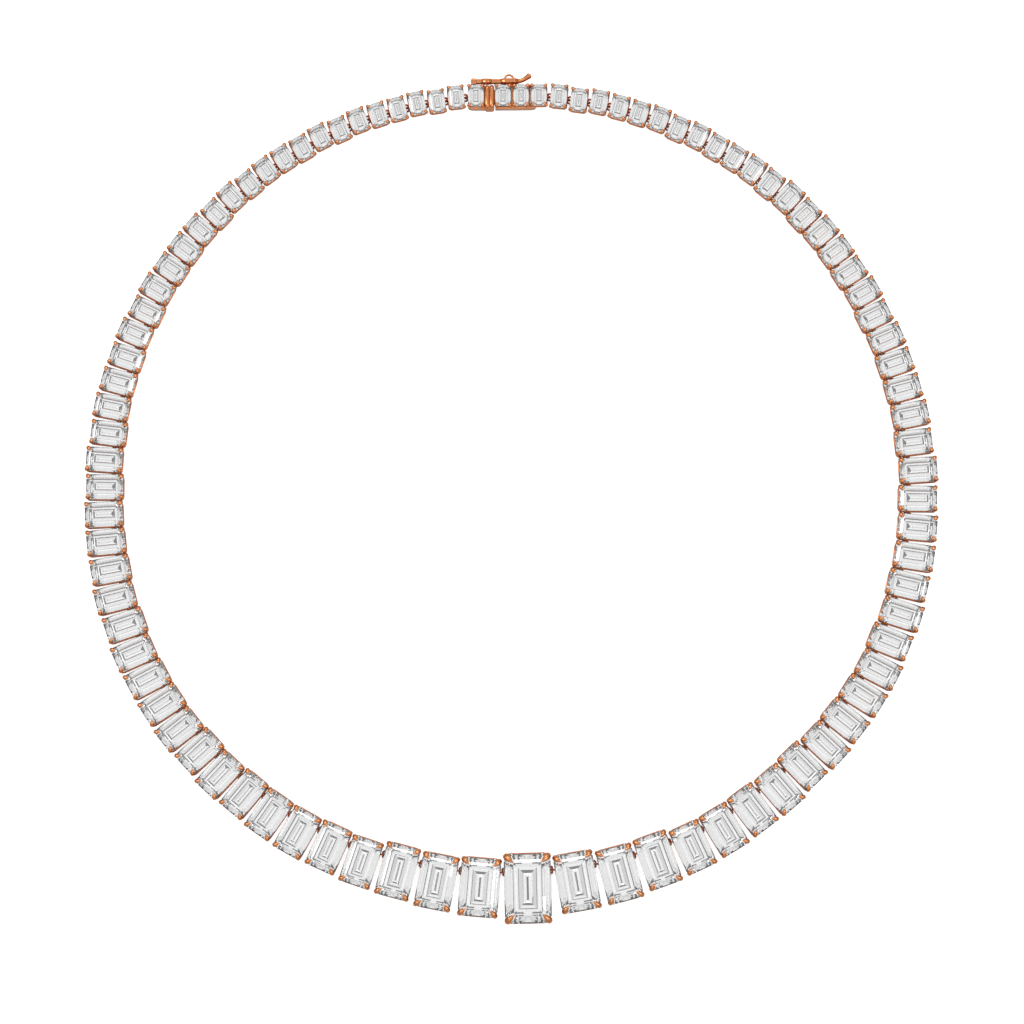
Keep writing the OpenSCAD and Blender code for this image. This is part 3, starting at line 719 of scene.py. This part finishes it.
def add_eye(wires, link):
    """Ring on edge round the crossbar, with its neck to the second setting's rail."""
    c, along = link["at"], link["along"]
    eye = []
    for step in range(12):
        t = math.radians(30 * step)
        eye.append(c + (along * math.cos(t) + Vector((0, 0, 1)) * math.sin(t)) * EYE_R)
    wires.add(eye, EYE_WIRE_R, EYE_PAINTED_SHADE, closed=True)
    wires.add([c + along * EYE_R, link["to"]], EYE_WIRE_R, EYE_PAINTED_SHADE)


def hashed(number):
    """A fixed value from -1 to 1 for a whole number."""
    return 2 * ((math.sin(number * 12.9898) * 43758.5453) % 1.0) - 1


def links_of(chain):
    """The links of one side, from the centre stone to the clasp's own end stone."""
    insets = [link_inset(place, stone["l"]) for place, stone in enumerate(chain)]
    insets[-1] = 0.0
    return [link_between(*chain[i:i + 2], *insets[i:i + 2]) for i in range(len(chain) - 1)]


def make_run(node, stones, links, side):
    """All settings of one side, each with its eye towards the centre and its staple towards the clasp."""
    claws, rails, wires = Wires(), Wires(), Wires()
    for place, stone in enumerate(stones, 1):
        add_claws(claws, stone, base_corner(stone))
        add_base(rails, stone)
        add_gallery(wires, stone, side, GALLERY_STRAY * hashed(place + 50 * side))
        add_eye(wires, links[place - 1])
        add_staple(wires, links[place])
    still = Matrix.Identity(4)
    parts = (
        (wire_mesh(node + "_claws", claws, sides=8), still),
        (wire_mesh(node + "_rails", rails, sides=8, height=BASE_H / BASE_T), still),
        (wire_mesh(node + "_wires", wires, sides=6), still),
    )
    joined_piece(node + "_detail", parts, "necklace", node)


def make_centre(stone, links):
    """The centre stone's setting, with a staple on each side."""
    claws, rails, wires = Wires(), Wires(), Wires()
    add_claws(claws, stone, base_corner(stone))
    add_base(rails, stone)
    add_gallery(wires, stone, 0)
    for link in links:
        add_staple(wires, link)
    still = Matrix.Identity(4)
    parts = (
        (wire_mesh("centre_claws", claws, sides=16, steps=4), still),
        (wire_mesh("centre_rails", rails, sides=12, steps=2, height=BASE_H / BASE_T), still),
        (wire_mesh("centre_wires", wires, sides=10, steps=2), still),
    )
    joined_piece("centre_setting_detail", parts, "necklace", "centre_setting")


# Clasp, built in its own frame: x runs along the chain to the right, y outward
class Clasp:
    def __init__(self, row):
        self.row = row
        first, last = row[0], row[-1]
        middle = (first["at"] + last["at"]) / 2
        out, across = first["out"], first["across"]
        self.place = Matrix((
            (across[0], out[0], 0, middle[0]), (across[1], out[1], 0, middle[1]), (0, 0, 1, 0), (0, 0, 0, 1),
        ))
        self.stone_x = [float((stone["at"] - middle) @ across) for stone in row]
        self.w = float(first["w"])
        half = float(first["l"]) / 2
        self.in_y = -half - WALL_OUT
        self.out_y = half + LATCH_WALL_OUT
        self.room_in = self.in_y + WALL_T
        self.room_out = self.out_y - LATCH_WALL_T
        self.base_w = self.w * BASE_SHARE
        self.box_from = self.stone_x[1] - self.w / 2
        self.box_to = self.stone_x[-1] - self.base_w / 2 + BASE_T
        self.thumb_x = (self.stone_x[0] + self.stone_x[1]) / 2
        self.hinge_x = self.stone_x[0] - HINGE_BACK


def band_plan(from_x, to_x, low_y, high_y, round_far):
    """Plan of a wall whose outer corner at one end is rounded, on the wearer's side."""
    deep = 0.9 * (high_y - low_y)
    corner = []
    for step in range(5):
        a = math.radians(22.5 * step)
        corner.append((BAND_ROUND * (math.sin(a) - 1), deep * (1 - math.cos(a))))
    if round_far:
        turned = [(to_x + x, low_y + y) for x, y in corner]
        return [(from_x, low_y)] + turned + [(to_x, high_y), (from_x, high_y)]
    turned = [(from_x - x, low_y + y) for x, y in reversed(corner)]
    return [(to_x, low_y), (to_x, high_y), (from_x, high_y)] + turned


def upright_mesh(name, plan, low_z, high_z, soft=SOFT_EDGE):
    """A plan drawn upward, with rounded edges."""
    mesh = outline_mesh(name, [(x, -y) for x, y in plan], low_z, high_z, soft)
    mesh.transform(Matrix.Rotation(math.radians(90), 4, "X"))
    return mesh


def clasp_claw_foot(stone):
    """Foot of a clasp stone's claw, inside the top of the wall."""
    edge = CORNER_CUT * stone["w"] / 2
    return (stone["w"] / 2 - edge, stone["l"] / 2 - edge, CLAW_FOOT_Z)


def clasp_walls(clasp, name, from_x, to_x, round_far):
    """The band on the wearer's side, with its end rounded in plan, and the plain wall behind the latch."""
    band = band_plan(from_x, to_x, clasp.in_y, clasp.room_in, round_far)
    return [
        upright_mesh(name, band, 0.0, WALL_H, 0.12 * MM),
        block_mesh(name, (from_x, clasp.room_out, 0), (to_x, clasp.out_y, WALL_H), 0.05 * MM),
    ]


def make_box(clasp, link):
    """Box of the clasp under its three stones, with the keeper of the latch and the last link's eye."""
    far_x, low_y, high_y = clasp.stone_x[-1], clasp.room_in, clasp.room_out
    rail_x = far_x - clasp.base_w / 2
    parts = clasp_walls(clasp, "box_wall", clasp.box_from, clasp.box_to, True)
    floor_low = (clasp.box_from, clasp.in_y + BAND_ROUND / 2, 0)
    floor_high = (clasp.box_to - BAND_ROUND, clasp.out_y - 0.05 * MM, FLOOR_T)
    parts.append(block_mesh("box_floor", floor_low, floor_high, 0.02 * MM))
    parts.append(block_mesh("box_end", (rail_x, low_y, 0), (clasp.box_to, high_y, BASE_H)))
    first_rib = (clasp.stone_x[1] + clasp.stone_x[2]) / 2
    second_rib = (clasp.stone_x[2] + clasp.stone_x[3]) / 2
    ribs = (
        (first_rib, RIB_HALF),
        (second_rib - RIB_PAIR, THIN_RIB_HALF),
        (second_rib + RIB_PAIR, THIN_RIB_HALF),
    )
    for x, half in ribs:
        rib_low = (x - half, low_y - WALL_T / 2, RIB_LOW)
        rib_high = (x + half, high_y + LATCH_WALL_T / 2, WALL_H + RIB_PROUD)
        parts.append(block_mesh("box_rib", rib_low, rib_high, 0.04 * MM))
    keeper = Wires()
    keeper_x, keeper_y = clasp.hinge_x + LATCH_REACH, HINGE_OUT + KEEPER_OUT
    foot_y = high_y + LATCH_WALL_T / 2
    arch = [(keeper_x - KEEPER_R, foot_y, LATCH_Z)]
    for step in range(9):
        a = math.radians(180 - 22.5 * step)
        arch.append((keeper_x + KEEPER_R * math.cos(a), keeper_y + KEEPER_R * math.sin(a), LATCH_Z))
    arch.append((keeper_x + KEEPER_R, foot_y, LATCH_Z))
    keeper.add(arch, KEEPER_WIRE_R)
    parts.append(wire_mesh("latch_keeper", keeper, sides=12, steps=2))
    claws, rails, wires = Wires(), Wires(), Wires()
    for stone in clasp.row[1:-1]:
        add_claws(claws, stone, clasp_claw_foot(stone))
    end_stone = clasp.row[-1]
    add_claws(claws, end_stone, base_corner(end_stone))
    add_base(rails, end_stone)
    add_gallery(wires, end_stone, 1)
    add_eye(wires, link)
    still = Matrix.Identity(4)
    placed = [(part, clasp.place) for part in parts]
    placed.append((wire_mesh("box_claws", claws, sides=12, steps=2), still))
    placed.append((wire_mesh("box_rails", rails, sides=10, height=BASE_H / BASE_T), still))
    placed.append((wire_mesh("box_wires", wires, sides=8), still))
    joined_piece("clasp_box_detail", placed, "necklace", "clasp_box")


def thumb_ridge(clasp, x):
    """One ridge of the thumb bar, from below the inner side over the top to the outer side."""
    r = THUMB_W / 4
    low_y, high_y, top = clasp.in_y - THUMB_OVER + r, clasp.out_y - r, THUMB_TOP - r
    side = (
        (low_y, TONGUE_Z + r),
        (low_y, top - 0.75 * MM),
        (low_y + 0.2 * MM, top - 0.28 * MM),
        (low_y + 0.6 * MM, top),
        (high_y - 0.5 * MM, top),
        (high_y - 0.12 * MM, top - 0.15 * MM),
        (high_y, top - 0.55 * MM),
        (high_y, TONGUE_Z + r),
    )
    return [(x, y, z) for y, z in side]


def make_tongue(clasp, link):
    """Tongue of the clasp under its first stone, with the blade, the thumb bar and the hinge."""
    near_x, low_y, high_y = clasp.stone_x[0], clasp.room_in, clasp.room_out
    from_x, rail_x = near_x - clasp.w / 2, near_x - clasp.base_w / 2
    bar_from = clasp.thumb_x - THUMB_W / 2
    parts = clasp_walls(clasp, "tongue_wall", from_x, bar_from, False)
    parts.append(block_mesh("tongue_end", (rail_x, low_y, 0), (rail_x + BASE_T, high_y, BASE_H)))
    parts.append(block_mesh("tongue_back", (bar_from - WALL_T, low_y, 0), (bar_from, high_y, WALL_H)))
    blade_low = (bar_from - WALL_T / 2, -TONGUE_W / 2, TONGUE_Z)
    blade_high = (clasp.box_from + TONGUE_IN, TONGUE_W / 2, TONGUE_Z + TONGUE_T)
    parts.append(block_mesh("tongue_blade", blade_low, blade_high, 0.05 * MM))
    ridges = Wires()
    for sign in (-1, 1):
        ridges.add(thumb_ridge(clasp, clasp.thumb_x + sign * THUMB_W / 4), THUMB_W / 4)
    parts.append(wire_mesh("thumb_ridges", ridges, sides=16, steps=4))
    left, right = bar_from + 0.2 * MM, bar_from + THUMB_W - 0.2 * MM
    foot_low = (left, clasp.in_y - THUMB_OVER + 0.06 * MM, TONGUE_Z)
    foot_high = (right, clasp.in_y, THUMB_TOP - 1.1 * MM)
    parts.append(block_mesh("thumb_foot", foot_low, foot_high, 0.2 * MM))
    core_low = (left, clasp.in_y - 0.1 * MM, TONGUE_Z)
    core_high = (right, clasp.out_y - 0.2 * MM, THUMB_TOP - 0.3 * MM)
    parts.append(block_mesh("thumb_core", core_low, core_high))
    parts += hinge_parts(clasp)
    claws, wires = Wires(), Wires()
    add_claws(claws, clasp.row[0], clasp_claw_foot(clasp.row[0]))
    add_eye(wires, link)
    placed = [(part, clasp.place) for part in parts]
    placed.append((wire_mesh("tongue_claws", claws, sides=12, steps=2), Matrix.Identity(4)))
    placed.append((wire_mesh("tongue_wires", wires, sides=8), Matrix.Identity(4)))
    joined_piece("clasp_tongue_detail", placed, "necklace", "clasp_tongue")


def turned_mesh(name, at, rows, closed, sides=32):
    """Rings of (radius, height) round an upright axis: closed joins the last to the first, otherwise
    the first and the last ring get a cap."""
    points, faces = [], []
    for radius, z in rows:
        for step in range(sides):
            a = 2 * math.pi * step / sides
            points.append((at[0] + radius * math.cos(a), at[1] + radius * math.sin(a), z))
    for row in range(len(rows) if closed else len(rows) - 1):
        here, there = row * sides, (row + 1) % len(rows) * sides
        for step in range(sides):
            after = (step + 1) % sides
            faces.append((here + step, here + after, there + after, there + step))
    if not closed:
        faces.append(tuple(reversed(range(sides))))
        faces.append(tuple(range((len(rows) - 1) * sides, len(rows) * sides)))
    mesh = bpy.data.meshes.new(name)
    mesh.from_pydata(points, [], faces)
    mesh.shade_smooth()
    mesh.set_sharp_from_angle(angle=math.radians(50))
    return mesh


def rod_mesh(name, at, r, low, high):
    """An upright rod with domed ends."""
    dome = 0.3 * r
    rows = [(0.1 * r, low), (0.6 * r, low + 0.25 * dome), (0.88 * r, low + 0.6 * dome), (r, low + dome)]
    rows += [(r, high - dome), (0.88 * r, high - 0.6 * dome), (0.6 * r, high - 0.25 * dome), (0.1 * r, high)]
    return turned_mesh(name, at, rows, False)


def tube_mesh(name, at, outer, inner, low, high):
    """An upright tube with rounded rims."""
    soft = 0.05 * MM
    rows = [(outer - soft, low), (outer, low + soft), (outer, high - soft), (outer - soft, high)]
    return turned_mesh(name, at, rows + [(inner, high), (inner, low)], True)


def hinge_parts(clasp):
    """Two lugs on the tongue's outer wall, with the pin between them."""
    at = (clasp.hinge_x, HINGE_OUT)
    low = LATCH_Z - BARREL_H / 2 - HINGE_GAP
    high = LATCH_Z + BARREL_H / 2 + HINGE_GAP
    left, right, foot = at[0] - LUG_R, at[0] + LUG_R, low - LUG_H
    back_y, front_y, in_wall = clasp.out_y, clasp.out_y + PLATE_T, clasp.out_y - LATCH_WALL_T / 2
    parts = [
        block_mesh("hinge_plate", (left, back_y, foot), (right, front_y, high + LUG_H), 0.05 * MM),
        block_mesh("plate_root", (left, in_wall, foot), (right, front_y, WALL_H), 0.05 * MM),
    ]
    for z in (low - LUG_H, high):
        parts.append(rod_mesh("hinge_lug", at, LUG_R, z, z + LUG_H))
        parts.append(block_mesh("lug_web", (left, back_y, z), (right, at[1], z + LUG_H), 0.04 * MM))
    parts.append(rod_mesh("hinge_pin", at, PIN_R, low - LUG_H / 2, high + LUG_H / 2))
    return parts


def latch_outline(length, height):
    """Outline of a flat loop with round ends, round its own middle."""
    straight = (length - height) / 2
    points = []
    for step in range(24):
        a = 2 * math.pi * (step + 0.5) / 24
        middle = straight if math.cos(a) > 0 else -straight
        points.append((middle + height / 2 * math.cos(a), height / 2 * math.sin(a)))
    return points


def latch_rim(name, x, length, height):
    """A loop of the latch: a flat ring cut from plate, with its edges rounded."""
    solid = bmesh.new()
    rings = []
    for low, far in ((True, False), (True, True), (False, True), (False, False)):
        size = (length, height) if low else (length - 2 * LATCH_RIM, height - 2 * LATCH_RIM)
        y = LATCH_T / 2 if far else -LATCH_T / 2
        rings.append([solid.verts.new((x + px, y, pz)) for px, pz in latch_outline(*size)])
    for near, after in zip(rings, rings[1:] + rings[:1]):
        for i in range(len(near)):
            j = (i + 1) % len(near)
            solid.faces.new((near[i], near[j], after[j], after[i]))
    bmesh.ops.recalc_face_normals(solid, faces=solid.faces)
    round_edges(solid, 40, 0.12 * MM)
    mesh = bpy.data.meshes.new(name)
    solid.to_mesh(mesh)
    solid.free()
    mesh.shade_smooth()
    return mesh


def make_latch(clasp):
    """Figure-eight latch, in its hinge's own frame until it is placed."""
    at_hinge = clasp.place @ Matrix.Translation((clasp.hinge_x, HINGE_OUT, LATCH_Z))
    parts = [tube_mesh("latch_barrel", (0, 0), BARREL_R, PIN_BORE, -BARREL_H / 2, BARREL_H / 2)]
    parts.append(latch_rim("small_ring", RING_AT, 2 * RING_R, 2 * RING_R))
    parts.append(latch_rim("large_loop", LATCH_REACH, LATCH_LOOP, LATCH_H))
    half, neck = LATCH_T / 2, NECK_H / 2
    ring_from, ring_to = RING_AT - RING_R + LATCH_RIM, RING_AT + RING_R - LATCH_RIM
    loop_from = LATCH_REACH - LATCH_LOOP / 2 + LATCH_RIM
    for low_x, high_x in ((BARREL_R * 0.75, ring_from), (ring_to, loop_from)):
        parts.append(block_mesh("latch_neck", (low_x, -half, -neck), (high_x, half, neck), 0.12 * MM))
    tip_from = LATCH_REACH + LATCH_LOOP / 2 - LATCH_RIM * 0.8
    run = TIP_REACH - tip_from
    tip = Wires()
    spine = [(tip_from + share * run, TIP_OUT * share ** 1.8, 0.0) for share in TIP_STEPS]
    tip.add(spine, [half, half, half, half * 1.12, BULB_R, BULB_R * 0.92, BULB_R * 0.5])
    parts.append(wire_mesh("latch_tip", tip, sides=20, steps=4, height=1.15))
    joined_piece("safety_latch_detail", [(part, at_hinge) for part in parts], "latch", "safety_latch")


set_camera()
make_floor()
set_lights()
DRIFT = surface_drift()
GOLD = rose_gold(DRIFT)
STONE = diamond(DRIFT)
WIRE_TREE = rounded_wire_tree()
for name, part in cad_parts.items():
    part.data.materials.clear()
    part.data.materials.append(STONE if "stone" in name else GOLD)

centre = stones_in("centre_stone")[0]
right = run_from_centre("stones_right", 1)
left = run_from_centre("stones_left", -1)
clasp = Clasp(sorted(stones_in("clasp_stones"), key=lambda stone: stone["at"][0]))
right_links = links_of([centre] + right + [clasp.row[-1]])
left_links = links_of([centre] + left + [clasp.row[0]])
make_centre(centre, (right_links[0], left_links[0]))
make_run("settings_right", right, right_links, 1)
make_run("settings_left", left, left_links, -1)
make_box(clasp, right_links[-1])
make_tongue(clasp, left_links[-1])
make_latch(clasp)
